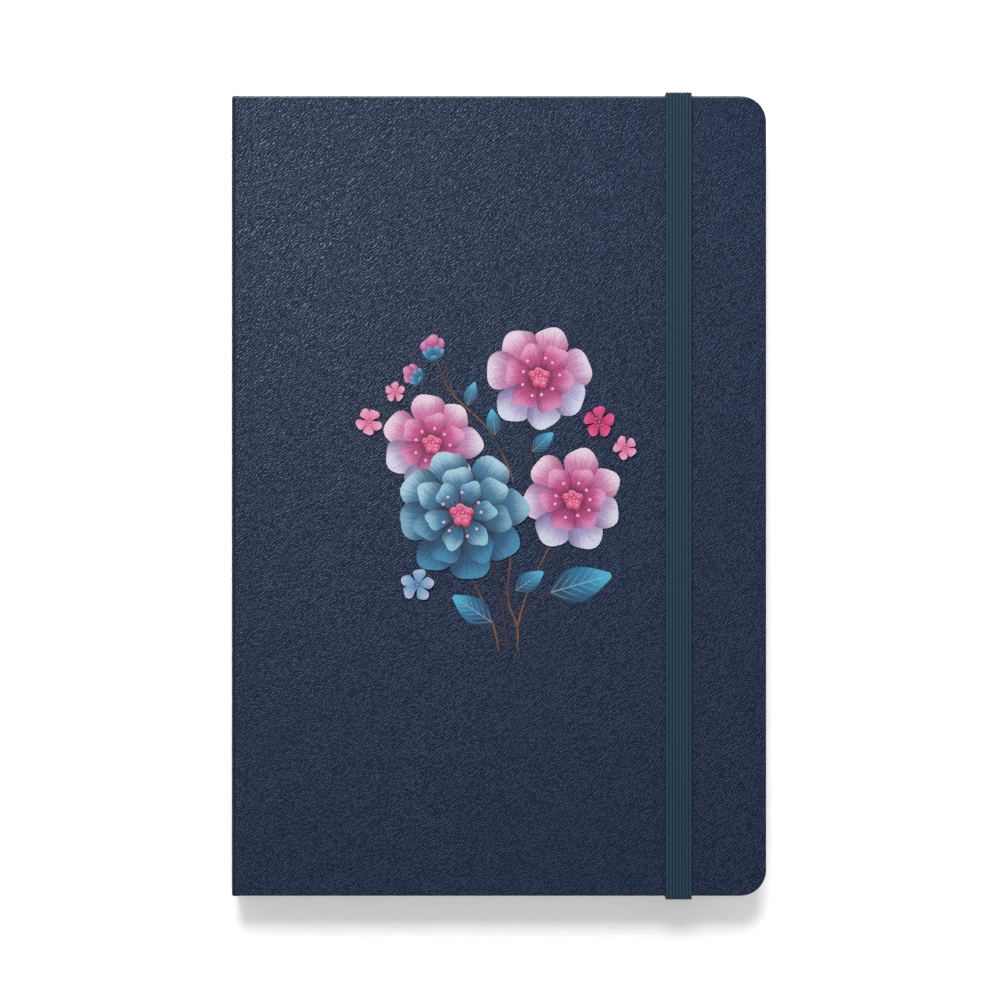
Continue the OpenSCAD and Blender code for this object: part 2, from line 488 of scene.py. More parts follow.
def makeWeave(name, pitch, thread, gap, stripe=None, stripePitch=1.0 * mm):
    material, tree, place = newMaterial(name)
    east, north, up = split(tree, place)
    wave = 2 * math.pi / pitch
    over = calc(tree, "SINE", times(tree, up, wave))
    under = calc(tree, "SINE", times(tree, calc(tree, "ADD", north, east), wave))
    knots = spread(tree, calc(tree, "MULTIPLY_ADD", over, under, noise(tree, place, 2500.0)), -0.4, 1.3)
    colour = mixColour(tree, knots, gap, thread)
    if stripe:
        bars = calc(tree, "SINE", times(tree, up, 2 * math.pi / stripePitch))
        colour = mixColour(tree, spread(tree, bars, -0.2, 0.2), colour, stripe)
    finishMaterial(tree, colour, 0.7, knots, 0.06 * mm, 0.3)
    return material


gauze = makeWeave("mullGauze", 0.7 * mm, rgb(226, 221, 205), rgb(176, 168, 148))
linen = makeWeave("linenThread", 0.35 * mm, rgb(238, 234, 220), rgb(190, 184, 168))
bandSilk = makeWeave("headbandSilk", 0.4 * mm, rgb(64, 86, 124), rgb(30, 44, 74),
                     rgb(226, 224, 214), 1.1 * mm)
print("materials made")


# coverings of the two boards

covering = {
    "cornerRadius": 7 * mm,
    "edgeRound": 0.7 * mm,
    "innerRound": 0.5 * mm,
    "turnIn": 15 * mm,
    "window": 0.35 * mm,      # how far the bare board lies below the turn-ins
    "grooveFrom": 2.4 * mm,   # from the board's spine edge
    "grooveWidth": 3.2 * mm,
    "grooveDepth": 0.12 * mm,
    "grooveReach": 0.5 * mm,  # takes in the rounded edge at the groove's two ends
    "grooveSteps": 10,
    "cornerSteps": 14,
    "edgeSteps": 6,
    "innerSteps": 3,
}


def makeCovering(name, outer, inner):
    piece = addBox(name, (boardX, -halfHeight, min(outer, inner)), (foreX, halfHeight, max(outer, inner)))
    startEdit(piece)
    pick(piece, "FACE", lambda f: abs(f.normal.z) > 0.9 and abs(f.calc_center_median().z - inner) < tolerance)
    bpy.ops.mesh.inset(thickness=covering["turnIn"])
    extrude(0, 0, math.copysign(covering["window"], outer - inner))
    pick(piece, "EDGE", lambda e: edgeRuns(e) == 2 and edgeMiddle(e).x > foreX - tolerance)
    roundEdges(covering["cornerRadius"], covering["cornerSteps"])
    rimReach = covering["cornerRadius"] + 0.1 * mm

    def roundRim(level, size, segments):
        # the rim at one level, but not along the hinge side
        pick(piece, "EDGE", lambda e: all(abs(v.co.z - level) < tolerance / 10 for v in e.verts)
             and not all(v.co.x < boardX + tolerance / 10 for v in e.verts)
             and any(abs(f.normal.z) < 0.1 for f in e.link_faces)
             and any(abs(f.normal.z) > 0.9 for f in e.link_faces)
             and max(abs(edgeMiddle(e).y) - halfHeight, edgeMiddle(e).x - foreX) > -rimReach)
        roundEdges(size, segments)

    roundRim(outer, covering["edgeRound"], covering["edgeSteps"])
    roundRim(inner, covering["innerRound"], covering["innerSteps"])
    steps = covering["grooveSteps"]
    places = evenly(boardX + covering["grooveFrom"], covering["grooveWidth"], steps)
    cutAcross(0, places)
    for i in range(1, steps):
        # the pressed joint line, sunk a little at each step
        drop = covering["grooveDepth"] * math.sin(math.pi * i / steps) ** 2
        pick(piece, "VERT", lambda v: abs(v.co.x - places[i]) < tolerance
             and abs(v.co.z - outer) < covering["grooveReach"])
        bpy.ops.transform.translate(value=(0, 0, math.copysign(drop, inner - outer)))
    endEdit()
    dress(piece, leatherSkin)
    return piece


frontCovering = makeCovering("frontCovering", coverHigh.z, coverLow.z)
smooth(frontCovering, 40)
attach(frontCovering, "front_cover")
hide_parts("front_cloth")

backCovering = makeCovering("backCovering", backLow.z, backHigh.z)

channel = {
    "side": 3.7 * mm,      # half the width of the pressed channel under the band
    "depth": 0.9 * mm,
    "slotWidth": 1.0 * mm,
    "slotY": anchorLow.y + 10.9 * mm,
    "past": 1 * mm,        # how far the cutters stand past the skin
}


def carve(piece, low, high):
    cutter = addBox("cutter", low, high)
    change(piece, "BOOLEAN", operation="DIFFERENCE", object=cutter)
    bpy.data.objects.remove(cutter)


for side in (1, -1):
    # a channel to the edge, and a slot at its inner end
    for reach, top in ((halfHeight + 2 * channel["past"], channel["depth"]),
                       (channel["slotY"] + channel["slotWidth"], backHigh.z + channel["past"])):
        nearY, farY = sorted((side * channel["slotY"], side * reach))
        carve(backCovering, (bandX - channel["side"], nearY, -channel["past"]),
              (bandX + channel["side"], farY, top))
smooth(backCovering, 40)
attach(backCovering, "back_cover")
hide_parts("back_cloth")
print("board coverings made")


# covering over the spine card

spineWrap = {
    "endRound": 0.6 * mm,
    "turnIn": 12 * mm,
    "joint": 1.5 * mm,    # radius of the two spine corners
    "cloth": 0.35 * mm,
    "sideWall": 0.4 * mm,
    "endSteps": 4,
    "arcSteps": 12,
    "hingeRound": 0.3 * mm,
    "hingeSteps": 3,
}
jointLow, jointHigh = spineWrap["joint"], topZ - spineWrap["joint"]
spineCovering = addBox("spineCovering", (spineX, -halfHeight, jointLow), (spineHigh.x, halfHeight, jointHigh))
startEdit(spineCovering)
pick(spineCovering, "FACE", lambda f: f.normal.x > 0.9)
bpy.ops.mesh.inset(thickness=spineWrap["sideWall"])
bpy.ops.transform.resize(value=(1, 1 - spineWrap["turnIn"] / halfHeight, 1))
extrude(-spineWrap["cloth"], 0, 0)
pick(spineCovering, "EDGE", lambda e: edgeRuns(e) == 2 and abs(edgeMiddle(e).y) > halfHeight - tolerance)
roundEdges(spineWrap["endRound"], spineWrap["endSteps"])
endEdit()
smooth(spineCovering, 40)
dress(spineCovering, leatherSkin)
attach(spineCovering, "spine")
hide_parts("spine_cloth")


# covering round each spine corner, the hinge of its board

def makeHinge(name):
    # a flat strip along the board's edge, spun round the corner and given its thickness
    radius = spineWrap["joint"]
    width = spineX + radius - boardX
    bpy.ops.mesh.primitive_plane_add(size=1, location=(boardX + width / 2, 0, 0), rotation=(math.pi, 0, 0))
    piece = bpy.context.object
    piece.name = name
    piece.scale = (abs(width), 2 * halfHeight, 1)
    finishPlace()
    startEdit(piece)
    pick(piece, "EDGE", lambda e: all(v.co.x < boardX + width + tolerance for v in e.verts))
    bpy.ops.mesh.spin(steps=spineWrap["arcSteps"], angle=math.radians(-90), axis=(0, 1, 0),
                      center=(spineX + radius, 0, radius))
    endEdit()
    change(piece, "SOLIDIFY", thickness=spineWrap["cloth"], offset=-1, use_even_offset=True)
    return piece


def roundHingeEnds(piece):
    startEdit(piece)
    pick(piece, "EDGE", lambda e: all(abs(v.co.y) > halfHeight - tolerance for v in e.verts)
         and any(abs(f.normal.y) > 0.9 for f in e.link_faces)
         and any(abs(f.normal.y) < 0.1 and f.normal.dot(Vector((1, 0, 1))) < 0 for f in e.link_faces))
    roundEdges(spineWrap["hingeRound"], spineWrap["hingeSteps"])
    fixNormals()
    endEdit()


overTop = Matrix.Translation((0, 0, topZ)) @ Matrix.Scale(-1, 4, (0, 0, 1))
toTail = Matrix.Scale(-1, 4, (0, 1, 0))

backHinge = makeHinge("backHingeCloth")
frontHingeLow = copyOf(backHinge, "frontHingeClothLow")
flipOver(frontHingeLow, overTop)
frontHingeTop = copyOf(frontHingeLow, "frontHingeClothTop")
cornerCentre = Vector((spineX + spineWrap["joint"], 0, jointHigh))
for piece, above in ((frontHingeLow, True), (frontHingeTop, False)):
    # the front one is parted half way round, since three bodies meet there
    startEdit(piece)
    selectAll()
    bpy.ops.mesh.bisect(plane_co=cornerCentre, plane_no=(1, 0, 1), use_fill=True,
                        clear_outer=above, clear_inner=not above)
    fixNormals()
    endEdit()
for piece in (backHinge, frontHingeLow, frontHingeTop):
    roundHingeEnds(piece)
    smooth(piece, 50)
    storePlace(piece)
    dress(piece, leatherBend)
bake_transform(backHinge)
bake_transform(frontHingeLow)
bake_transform(frontHingeTop)
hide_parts("back_joint_cloth")
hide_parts("front_joint_cloth")
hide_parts("front_joint_cloth")
print("hinges made")


# page block

block = {
    "cornerRadius": 5 * mm,
    "foldRound": 0.39 * mm,
    "foreWander": 0.08 * mm,   # how unevenly the leaves were trimmed
    "outerBend": 5.5 * mm,     # how far from the fold the outermost leaves bend
    "middleBend": 9.5 * mm,
    "flyBend": 5 * mm,
    "flyFold": 0.07 * mm,
    "centreBend": 46 * mm,
    "centreFold": 0.04 * mm,
    "bendFrom": 0.2,           # how far in the bends begin to lengthen
    "cornerSteps": 7,
    "foldSteps": 3,
    "rows": (-0.8, -0.6, -0.4, -0.2, 0, 0.2, 0.4, 0.6, 0.8),    # parts of the half height
}


def bendLength(z):
    # the leaves in the middle of the book bend over a longer stretch than the outer ones
    inward = 1 - abs(z - topZ / 2) / (topZ / 2)
    share = max(0, (inward - block["bendFrom"]) / (1 - block["bendFrom"]))
    return block["outerBend"] + (block["middleBend"] - block["outerBend"]) * share


def makeLeaves(name, node, bend, foldRound, cuts):
    low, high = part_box(node)
    piece = addBox(name, low, high)
    startEdit(piece)
    pick(piece, "EDGE", lambda e: edgeRuns(e) == 2 and edgeMiddle(e).x > high.x - tolerance)
    roundEdges(block["cornerRadius"], block["cornerSteps"])
    pick(piece, "EDGE", lambda e: edgeRuns(e) == 1 and edgeMiddle(e).x < low.x + tolerance)
    roundEdges(foldRound, block["foldSteps"])
    cutAcross(0, evenly(low.x, bend, cuts)[1:])
    rows = [high.y * share for share in block["rows"]]
    cutAcross(1, rows)
    for row in rows:
        pick(piece, "VERT", lambda v: abs(v.co.y - row) < tolerance and v.co.x > high.x - tolerance)
        bpy.ops.transform.translate(value=(-random.random() * block["foreWander"], 0, 0))
    endEdit()
    smooth(piece, 30)
    storePlace(piece)
    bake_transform(piece)
    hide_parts(node)
    return piece


def dressLeaves(piece, over, under):
    dress(piece, pageEdge, over, under)
    for face in piece.data.polygons:
        if abs(face.normal.z) > 0.7:
            face.material_index = 1 if face.normal.z > 0 else 2


sections = ["section_%02d" % i for i in range(1, 6)] + ["section_06_front", "section_06_back"]
sections += ["section_%02d" % i for i in range(7, 12)]
for name in sections:
    low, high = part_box(name)
    level = (low.z + high.z) / 2
    far = "front_block" if level > topZ / 2 else "back_cover"
    leaves = makeLeaves(name.replace("section", "leaves"), name, bendLength(level), block["foldRound"],
                        12)
    dressLeaves(leaves, pageRuled if name == "section_06_back" else pageFace,
                pageRuled if name == "section_06_front" else pageFace)

for name, far in (("front_flyleaf", "front_block"), ("back_flyleaf", "back_cover")):
    fly = makeLeaves(name.replace("_", "") + "Sheet", name, block["flyBend"], block["flyFold"], 10)
    dress(fly, endPaperBend)

centreLeaf = makeLeaves("centreLeaf", "turning_leaf", block["centreBend"], block["centreFold"], 26)
dressLeaves(centreLeaf, pageRuled, pageRuled)

# the fold of the front endpaper, between the pastedown and the flyleaf
foldThickness = 0.14 * mm
foldHeight = 0.22 * mm
foldSteps = 12
pasteLow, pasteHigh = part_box("front_pastedown")
flyLow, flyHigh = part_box("front_flyleaf")
endFold = addBox("frontEndpaperFold", (pasteLow.x - foldThickness, -flyHigh.y, flyLow.z + 0.02 * mm),
                 (pasteLow.x, flyHigh.y, pasteHigh.z - 0.01 * mm))
foldHigh = pasteLow.z
foldLow = foldHigh - foldHeight
startEdit(endFold)
cutAcross(2, evenly(foldLow, foldHigh - foldLow, foldSteps))
endEdit()
smooth(endFold, 60)
storePlace(endFold)
dress(endFold, endPaperBend)
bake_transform(endFold)
print("page block made")


# elastic band

band = {
    "ribs": 8,
    "stepsPerRib": 6,
    "ribDepths": {0: 0.17 * mm, 1: 0.06 * mm, 5: 0.06 * mm},   # how far each column is sunk
    "thickness": runHigh.z - runLow.z,
    "cornerRadius": 1.0 * mm,
    "cornerSteps": 8,
    "tabLength": 11 * mm,
    "edgeShare": 0.45,      # how thick the band's two edges are
    "wrapSteps": 14,
    "anchorSteps": 12,
    "loopPitch": 1.0 * mm,  # the knitted loops of one rib
    "loopShift": 1.9,       # radians from rib to rib
    "yarnScale": 2600.0,
    # the ribs' colour: partly the yarn's own tone, partly painted highlight on the crests and painted shade
    # in the grooves
    "crest": rgb(26, 56, 78),
    "groove": rgb(14, 34, 50),
}


def makeElastic():
    material, tree, place = newMaterial("ribbedElastic", True)
    east, north, up = split(tree, place)
    pitch = bandWidth / band["ribs"]
    across = calc(tree, "DIVIDE", calc(tree, "SUBTRACT", east, runLow.x), pitch)
    hump = calc(tree, "ABSOLUTE", calc(tree, "SINE", times(tree, across, math.pi)))
    # each rib is a chain of small knitted loops, staggered from rib to rib
    run = times(tree, calc(tree, "ADD", north, up), 2 * math.pi / band["loopPitch"])
    stagger = calc(tree, "MULTIPLY_ADD", calc(tree, "FLOOR", across), band["loopShift"], run)
    loops = times(tree, calc(tree, "SINE", stagger), 0.08)
    yarn = times(tree, noise(tree, place, band["yarnScale"], 3.0, 0.6), 0.35)
    lift = calc(tree, "ADD", calc(tree, "MULTIPLY_ADD", hump, 0.7, loops), yarn)
    # ribs lighter on their crests and darker between them: partly painted highlight and painted shade, partly
    # the knit and yarn
    colour = mixColour(tree, spread(tree, lift, 0.2, 1.0), band["groove"], band["crest"])
    finishMaterial(tree, colour, 0.7, lift, 0.08 * mm, 0.15, **{"Sheen Weight": 0.03})
    return material


elastic = makeElastic()


def makeBandSection():
    # one ribbed slice of the band, lying flat with its outer side towards -Y, modelled once
    columns = band["ribs"] * band["stepsPerRib"]
    bpy.ops.mesh.primitive_grid_add(x_subdivisions=columns, y_subdivisions=1, size=1,
                                    location=(bandX, band["thickness"] / 2, 0))
    piece = bpy.context.object
    piece.scale = (bandWidth, band["thickness"], 1)
    finishPlace()
    startEdit(piece)

    def columnOf(vertex):
        return round((vertex.co.x - runLow.x) / bandWidth * columns)

    for near in (True, False):
        for step, depth in band["ribDepths"].items():
            pick(piece, "VERT", lambda v: columnOf(v) % band["stepsPerRib"] == step
                 and 0 < columnOf(v) < columns and (v.co.y < band["thickness"] / 2) == near)
            bpy.ops.transform.translate(value=(0, depth if near else -depth, 0))
    pick(piece, "VERT", lambda v: columnOf(v) in (0, columns))
    bpy.ops.transform.resize(value=(1, band["edgeShare"], 1),
                             center_override=(bandX, band["thickness"] / 2, 0))
    endEdit()
    return piece


bandSection = makeBandSection()


def makeBandPiece(name, tilt, y, z, moves, cutAxis=None, cuts=()):
    # the slice is set at its start, then extruded and spun along the band's way
    piece = copyOf(bandSection, name)
    piece.data.transform(Matrix.Translation((0, y, z)) @ Matrix.Rotation(math.radians(tilt), 4, "X"))
    startEdit(piece)
    bpy.ops.mesh.select_mode(type="FACE")
    selectAll()
    for move in moves:
        if move[0] == "run":
            extrude(*move[1:])
        else:
            bpy.ops.mesh.spin(steps=band["cornerSteps"], angle=math.radians(move[1]), axis=(1, 0, 0),
                              center=(0, move[2], move[3]))
    if cutAxis is not None:
        cutAcross(cutAxis, cuts)
    fixNormals()
    endEdit()
    return piece


def dressBand(piece):
    smooth(piece, 60)
    storePlace(piece)
    dress(piece, elastic)


radius = band["cornerRadius"]
turnY = wrapHigh.y - radius
lowTurnZ = wrapLow.z + radius
highTurnZ = runHigh.z - radius
riserY = anchorLow.y + band["tabLength"]
tabZ = anchorHigh.z

frontRun = makeBandPiece("bandFrontRun", -90, turnY, runHigh.z, [("run", 0, -2 * turnY, 0)])
dressBand(frontRun)
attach(frontRun, "band_front")
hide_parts("elastic_front_run")

wrapMoves = [("spin", -90, turnY, lowTurnZ), ("run", 0, 0, highTurnZ - lowTurnZ),
             ("spin", -90, turnY, highTurnZ)]
wrapCuts = evenly(lowTurnZ, highTurnZ - lowTurnZ, band["wrapSteps"])[1:-1]
headWrap = makeBandPiece("bandHeadWrap", 90, turnY, wrapLow.z, wrapMoves, 2, wrapCuts)
backMoves = [("run", 0, 0, lowTurnZ - tabZ), ("spin", -90, riserY + radius, lowTurnZ),
             ("run", 0, turnY - riserY - radius, 0)]
backCuts = evenly(riserY + radius, turnY - riserY - radius, band["anchorSteps"])[1:-1]
headAnchor = makeBandPiece("bandHeadAnchor", 0, riserY, tabZ, backMoves, 1, backCuts)
tailWrap = copyOf(headWrap, "bandTailWrap")
tailAnchor = copyOf(headAnchor, "bandTailAnchor")
flipOver(tailWrap, toTail)
flipOver(tailAnchor, toTail)
for side, wrap, anchor, end in ((1, headWrap, headAnchor, "head"), (-1, tailWrap, tailAnchor, "tail")):
    dressBand(wrap)
    dressBand(anchor)
    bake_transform(wrap)
    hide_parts("elastic_" + end + "_wrap")
    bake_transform(anchor)
    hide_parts("elastic_" + end + "_anchor")
bpy.data.objects.remove(bandSection)
print("band made")


# printed flowers on the front covering: a film of ink shapes, each modelled once and copied

ink = {
    "firstLayer": topZ + 0.02 * mm,
    "layerStep": 0.003 * mm,
    "thickness": 0.01 * mm,
    "strength": 0.66,         # how much light the ink gives back
    "fan": 17.0,              # how many streaks fan out from the foot
    "fanFoot": 0.12,
    "streakShare": 0.42,      # how far the streaks and the dots shift the change of colour
    "dotShare": 0.16,
    "dotScale": 2400.0,
    "flankShare": 0.6,
    "veins": 6.5,             # pairs of side veins along a leaf
}


def inkColour(red, green, blue):
    return [c * ink["strength"] for c in rgb(red, green, blue)[:3]] + [1]


def inkMaterial(name, veins):
    material, tree, place = newMaterial(name)
    across, along = split(tree, addNode(tree, "UVMap", uv_map="inkPlace").outputs[0])[:2]
    foot, middle, tip = [addNode(tree, "Attribute", attribute_name=key).outputs["Color"]
                         for key in ("inkFoot", "inkMiddle", "inkTip")]
    side = calc(tree, "SUBTRACT", across, 0.5)
    # fine streaks fan out from the foot of each shape
    fan = calc(tree, "ARCTAN2", side, calc(tree, "ADD", along, ink["fanFoot"]))
    fan = times(tree, fan, ink["fan"])
    east, north = split(tree, place)[:2]
    way = addNode(tree, "CombineXYZ", {0: fan, 1: times(tree, along, 1.4),
                                       2: times(tree, calc(tree, "ADD", east, north), 45.0)})
    streak = noise(tree, way.outputs[0], 1.0, 3.0, 0.6)
    dots = noise(tree, place, ink["dotScale"], 2.0)
    level = calc(tree, "MULTIPLY_ADD", calc(tree, "SUBTRACT", streak, 0.5), ink["streakShare"], along)
    level = calc(tree, "MULTIPLY_ADD", calc(tree, "SUBTRACT", dots, 0.5), ink["dotShare"], level)
    colour = mixColour(tree, spread(tree, level, 0.14, 0.52), foot, middle)
    colour = mixColour(tree, spread(tree, level, 0.5, 0.94), colour, tip)
    # one flank a little deeper, as the next petal shades it
    flank = spread(tree, side, 0.08, 0.5, 0.0, ink["flankShare"])
    colour = mixColour(tree, flank, colour, foot)
    if veins:
        bend = calc(tree, "ABSOLUTE", side)
        midrib = spread(tree, bend, 0.008, 0.03, 1.0, 0.0)
        climb = calc(tree, "SUBTRACT", along, times(tree, bend, 0.75))
        rung = calc(tree, "PINGPONG", times(tree, climb, ink["veins"]), 0.5)
        ribs = spread(tree, rung, 0.03, 0.1, 0.8, 0.0)
        ribs = times(tree, ribs, spread(tree, bend, 0.2, 0.42, 1.0, 0.0))
        fade = spread(tree, along, 0.5, 1.0, 0.5, 0.05)
        lines = times(tree, calc(tree, "MAXIMUM", midrib, ribs), fade)
        colour = mixColour(tree, lines, colour, inkColour(170, 215, 232))
    height = grainHeight(tree, place)
    colour = mixColour(tree, spread(tree, height, 0.12, 0.45, 0.2, 0.0), colour, leather["middle"])
    finishMaterial(tree, colour, 0.55, height, 0.45 * leather["depth"], 0.2)
    return material


petalInk = inkMaterial("printedPetals", False)
leafInk = inkMaterial("printedLeaves", True)


def storeChart(piece, placeOn):
    # where each corner lies on its shape, for the streaks and the change of colour
    layers = piece.data.uv_layers
    chart = layers[0] if layers else layers.new()
    chart.name = "inkPlace"
    for loop in piece.data.loops:
        chart.data[loop.index].uv = placeOn(piece.data.vertices[loop.vertex_index].co)


def modelInkShape(name, corners, moves):
    # a flat shape one unit long from its foot at the origin; moves pull parts of its outline:
    # from where to where, how far, how much wider, and how far the pull reaches
    bpy.ops.mesh.primitive_circle_add(vertices=corners, radius=0.5, fill_type="NGON", location=(0, 0.5, 0))
    piece = bpy.context.object
    piece.name = name
    finishPlace()
    startEdit(piece)
    for low, high, shift, widen, reach, falloff in moves:
        pull = {"use_proportional_edit": True, "proportional_edit_falloff": falloff,
                "proportional_size": reach}
        pick(piece, "VERT", lambda v: low <= v.co.y <= high)
        if shift:
            bpy.ops.transform.translate(value=(0, shift, 0), **pull)
        if widen != 1:
            bpy.ops.transform.resize(value=(widen, 1, 1), center_override=(0, 0.5, 0), **pull)
    endEdit()
    lengths = [v.co.y for v in piece.data.vertices]
    piece.data.transform(Matrix.Diagonal((1, 1 / (max(lengths) - min(lengths)), 1, 1))
                         @ Matrix.Translation((0, -min(lengths), 0)))
    storeChart(piece, lambda point: (point.x + 0.5, point.y))
    return piece


petalShape = modelInkShape("petalShape", 28, [(-1, 0.02, -0.3, 1, 0.8, "SMOOTH"),
                                              (-1, 0.02, 0, 0.5, 0.8, "SMOOTH")])
leafShape = modelInkShape("leafShape", 32, [(0.97, 2, 0.3, 0.8, 0.5, "SHARP"),
                                            (-1, 0.03, -0.12, 0.8, 0.45, "SHARP")])
dotShape = modelInkShape("dotShape", 12, [])
inkPieces = []
layers = itertools.count(1)


def nextLayer():
    # every shape lies a hair above the one before
    return ink["firstLayer"] + next(layers) * ink["layerStep"]


def storeInk(piece, colours):
    for key, colour in zip(("inkFoot", "inkMiddle", "inkTip"), colours):
        store = piece.data.attributes.new(key, "FLOAT_COLOR", "POINT")
        for item in store.data:
            item.color = colour


def placeInk(shape, x, y, turn, length, width, colours, wave=0.0, waves=3, start=0.0, material=petalInk):
    # puts one copy with its foot at x, y in millimetres, turned anticlockwise from pointing right
    piece = copyOf(shape, "inkShape")
    phase = random.uniform(0, 6.28)
    for vertex in piece.data.vertices:
        side, along = vertex.co.x, vertex.co.y - 0.5
        swell = 1 + wave * math.sin(waves * math.atan2(side, along) + phase) * max(0, min(1, along + 0.5))
        vertex.co = (side * swell * width, (0.5 + along * swell) * length, 0)
    piece.data.transform(Matrix.Translation((x * mm, y * mm, nextLayer()))
                         @ Matrix.Rotation(math.radians(turn - 90), 4, "Z") @ Matrix.Scale(mm, 4))
    for item in piece.data.uv_layers["inkPlace"].data:
        # the colours change over the part that shows beyond the inner petals
        item.uv.y = (item.uv.y - start) / (1 - start)
    storeInk(piece, colours)
    dress(piece, material)
    inkPieces.append(piece)


def blendInk(low, high, amount):
    return [[a + (b - a) * amount for a, b in zip(one, other)] for one, other in zip(low, high)]


inkTones = {
    # at the foot, in the middle and at the tip
    "rose": [(150, 36, 100), (214, 118, 172), (246, 222, 238)],
    "roseLow": [(84, 58, 122), (172, 158, 208), (226, 226, 246)],
    "roseMiddle": [(120, 14, 74), (206, 72, 142), (240, 168, 208)],
    "roseInner": [(112, 14, 72), (190, 60, 130), (226, 142, 194)],
    "blue": [(8, 34, 62), (56, 122, 162), (178, 220, 236)],
    "blueLow": [(4, 30, 58), (16, 84, 128), (58, 142, 182)],
    "blueInner": [(6, 36, 66), (46, 116, 156), (152, 206, 228)],
    "leaf": [(10, 62, 98), (22, 116, 160), (74, 184, 222)],
    "bead": [(206, 48, 104), (236, 92, 140), (246, 140, 176)],
    "pale": [(240, 160, 192), (246, 186, 212), (252, 220, 234)],
    "smallRose": [(214, 92, 140), (240, 142, 184), (246, 176, 208)],
    "smallDeep": [(160, 20, 80), (222, 52, 122), (238, 86, 148)],
    "smallBlue": [(70, 128, 176), (132, 178, 216), (186, 192, 226)],
    "stem": [(70, 44, 34), (120, 82, 56), (132, 92, 62)],
    "darkStem": [(44, 26, 26), (70, 40, 34), (84, 50, 40)],
}
petalInks = {name: [inkColour(*tone) for tone in tones] for name, tones in inkTones.items()}

flowerKinds = {
    # each ring: petals, first angle, length and width as parts of the flower's radius,
    # inks low and high, how wavy the rim is, and where its colours start
    "rose": {"rings": [(7, 18, 1.0, 0.74, "roseLow", "rose", 0.05, 0.22),
                       (6, 50, 0.66, 0.52, "roseInner", "roseMiddle", 0.1, 0.1)],
             "core": 0.19},
    "blue": {"rings": [(8, 12, 1.0, 0.66, "blueLow", "blue", 0.05, 0.42),
                       (7, 40, 0.77, 0.5, "blueLow", "blue", 0.08, 0.3),
                       (6, 68, 0.54, 0.36, "blueInner", "blueInner", 0.1, 0.12)],
             "core": 0.17},
}


heart = {
    "threads": 9,
    "beads": 11,
    "dots": 9,
    "goldenAngle": 137.5,
    "threadFrom": 0.8,        # parts of the heart's radius
    "threadReach": 1.75,
    "beadSize": 0.75,
    "threadWidth": 0.1,       # and millimetres
    "threadDot": 0.85,
    "dotSize": 0.42,
}


def stepTo(x, y, turn, reach):
    return x + reach * math.cos(turn), y + reach * math.sin(turn)


def makeCore(x, y, radius):
    # a beaded heart with pale dots and a ring of stamens
    for i in range(heart["threads"]):
        turn = math.radians(i * 360 / heart["threads"] + random.uniform(-10, 10))
        reach = radius * heart["threadReach"] * random.uniform(0.9, 1.1)
        thread = radius * heart["threadFrom"]
        placeInk(dotShape, *stepTo(x, y, turn, thread), math.degrees(turn), thread, heart["threadWidth"],
                 petalInks["roseInner"])
        placeInk(dotShape, *stepTo(x, y, turn, reach - 0.3), math.degrees(turn), heart["threadDot"],
                 heart["threadDot"], petalInks["pale"])
    for i in range(heart["beads"]):
        turn = math.radians(i * heart["goldenAngle"])
        size = radius * heart["beadSize"]
        east, north = stepTo(x, y, turn, radius * 0.82 * math.sqrt((i + 0.5) / heart["beads"]))
        placeInk(dotShape, east, north - size / 2, 90, size, size, petalInks["bead"])
    for i in range(heart["dots"]):
        turn = math.radians(i * heart["goldenAngle"] + 60)
        size = heart["dotSize"]
        east, north = stepTo(x, y, turn, radius * 0.8 * math.sqrt((i + 0.5) / heart["dots"]))
        placeInk(dotShape, east, north - 0.2, 90, size, size, petalInks["pale"])


def makeFlower(kind, x, y, size, turn):
    look = flowerKinds[kind]
    for count, first, length, width, low, high, wave, start in look["rings"]:
        for i in range(count):
            angle = first + turn + i * 360 / count + random.uniform(-5, 5)
            upward = 0.5 + 0.5 * math.sin(math.radians(angle))
            colours = blendInk(petalInks[low], petalInks[high], max(0, min(1, 1.8 * upward - 0.35)))
            placeInk(petalShape, x, y, angle, size * length * random.uniform(0.93, 1.03),
                     size * width * random.uniform(0.94, 1.08), colours, wave, 4, start)
    makeCore(x, y, size * look["core"])


def makeSmallFlower(x, y, size, turn, colours):
    for i in range(5):
        placeInk(petalShape, x, y, turn + i * 72 + random.uniform(-6, 6), size, size * 0.86,
                 petalInks[colours], 0.1, 3)
    for i in range(6):
        east, north = stepTo(x, y, math.radians(i * 60 + turn), 0 if i == 0 else size * 0.26)
        placeInk(dotShape, east, north - 0.14, 90, 0.3, 0.3, petalInks["pale"])


def makeBud(x, y, size, turn):
    for shift, width, length in ((-24, 0.6, 0.95), (24, 0.6, 0.95), (0, 0.72, 1.08)):
        placeInk(petalShape, x, y, turn + shift, size * length, size * width, petalInks["roseInner"], 0.08, 3)
    for shift in (-52, 52, -20, 20):
        placeInk(leafShape, x, y, turn + shift, size * 0.62, size * 0.36, petalInks["leaf"])
    placeInk(dotShape, *stepTo(x, y, math.radians(turn), -size * 0.12), turn, size * 0.26, size * 0.42,
             petalInks["leaf"])


